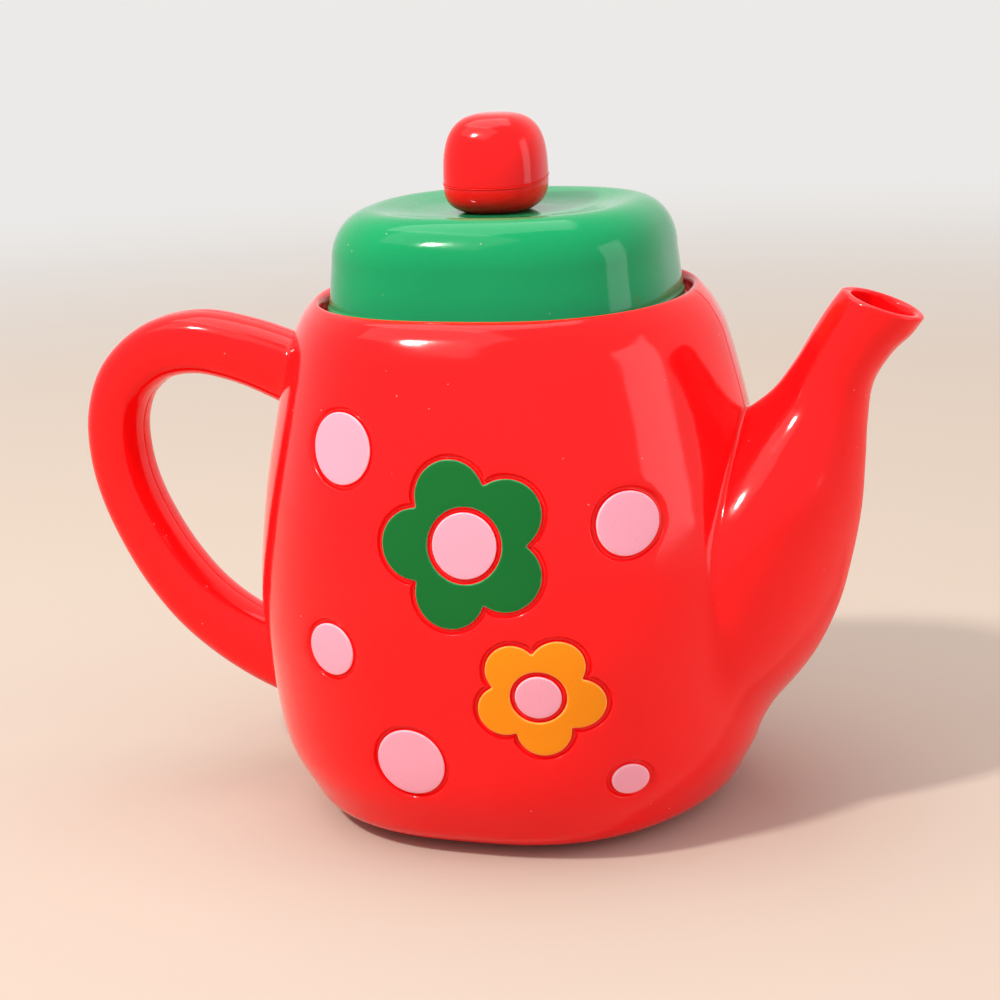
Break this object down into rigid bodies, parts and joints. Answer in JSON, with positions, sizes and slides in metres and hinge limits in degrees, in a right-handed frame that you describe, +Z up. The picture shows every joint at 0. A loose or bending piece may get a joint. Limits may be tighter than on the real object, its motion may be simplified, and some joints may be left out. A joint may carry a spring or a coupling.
{
  "type": "toy teapot",
  "caption": "Squat moulded toy teapot with a loop handle, an upswept spout, printed flowers and dots, and a dished lid with a square-round knob that lifts off.",
  "frame": {"origin": "centre of the flat base that the pot stands on, midway between its front and its back", "axes": "+Z up; +X from the handle towards the spout; the decorated front that the picture shows faces -Y"},
  "size_m": [0.1794, 0.1052, 0.1413],
  "materials": {
    "shell_red": "injection moulded, high gloss, bright red",
    "knob_red": "injection moulded, gloss, bright red",
    "lid_green": "injection moulded, gloss, leaf green",
    "petal_green": "painted into a moulded outline, satin dark green",
    "petal_orange": "painted into a moulded outline, satin orange yellow",
    "dot_pink": "painted into a moulded outline, satin light pink",
    "zinc_steel": "zinc plated, hidden under the lid"
  },
  "bodies": {
    "pot": {"front_shell": "shell_red", "back_shell": "shell_red", "front_green_petals": "petal_green", "front_green_middle": "dot_pink", "front_orange_petals": "petal_orange", "front_orange_middle": "dot_pink", "front_dot_1": "dot_pink", "front_dot_2": "dot_pink", "front_dot_3": "dot_pink", "front_dot_4": "dot_pink", "front_dot_5": "dot_pink", "back_green_petals": "petal_green", "back_green_middle": "dot_pink", "back_orange_petals": "petal_orange", "back_orange_middle": "dot_pink", "back_dot_1": "dot_pink", "back_dot_2": "dot_pink", "back_dot_3": "dot_pink", "back_dot_4": "dot_pink", "back_dot_5": "dot_pink"},
    "lid": {"lid": "lid_green", "knob_base": "knob_red", "knob_cap": "knob_red", "knob_screw": "zinc_steel", "knob_washer": "zinc_steel"}
  },
  "joints": [
    {"name": "lid_lift", "type": "slide", "parent": "pot", "child": "lid", "axis": [0, 0, 1], "range_m": [0, 0.04]}
  ]
}
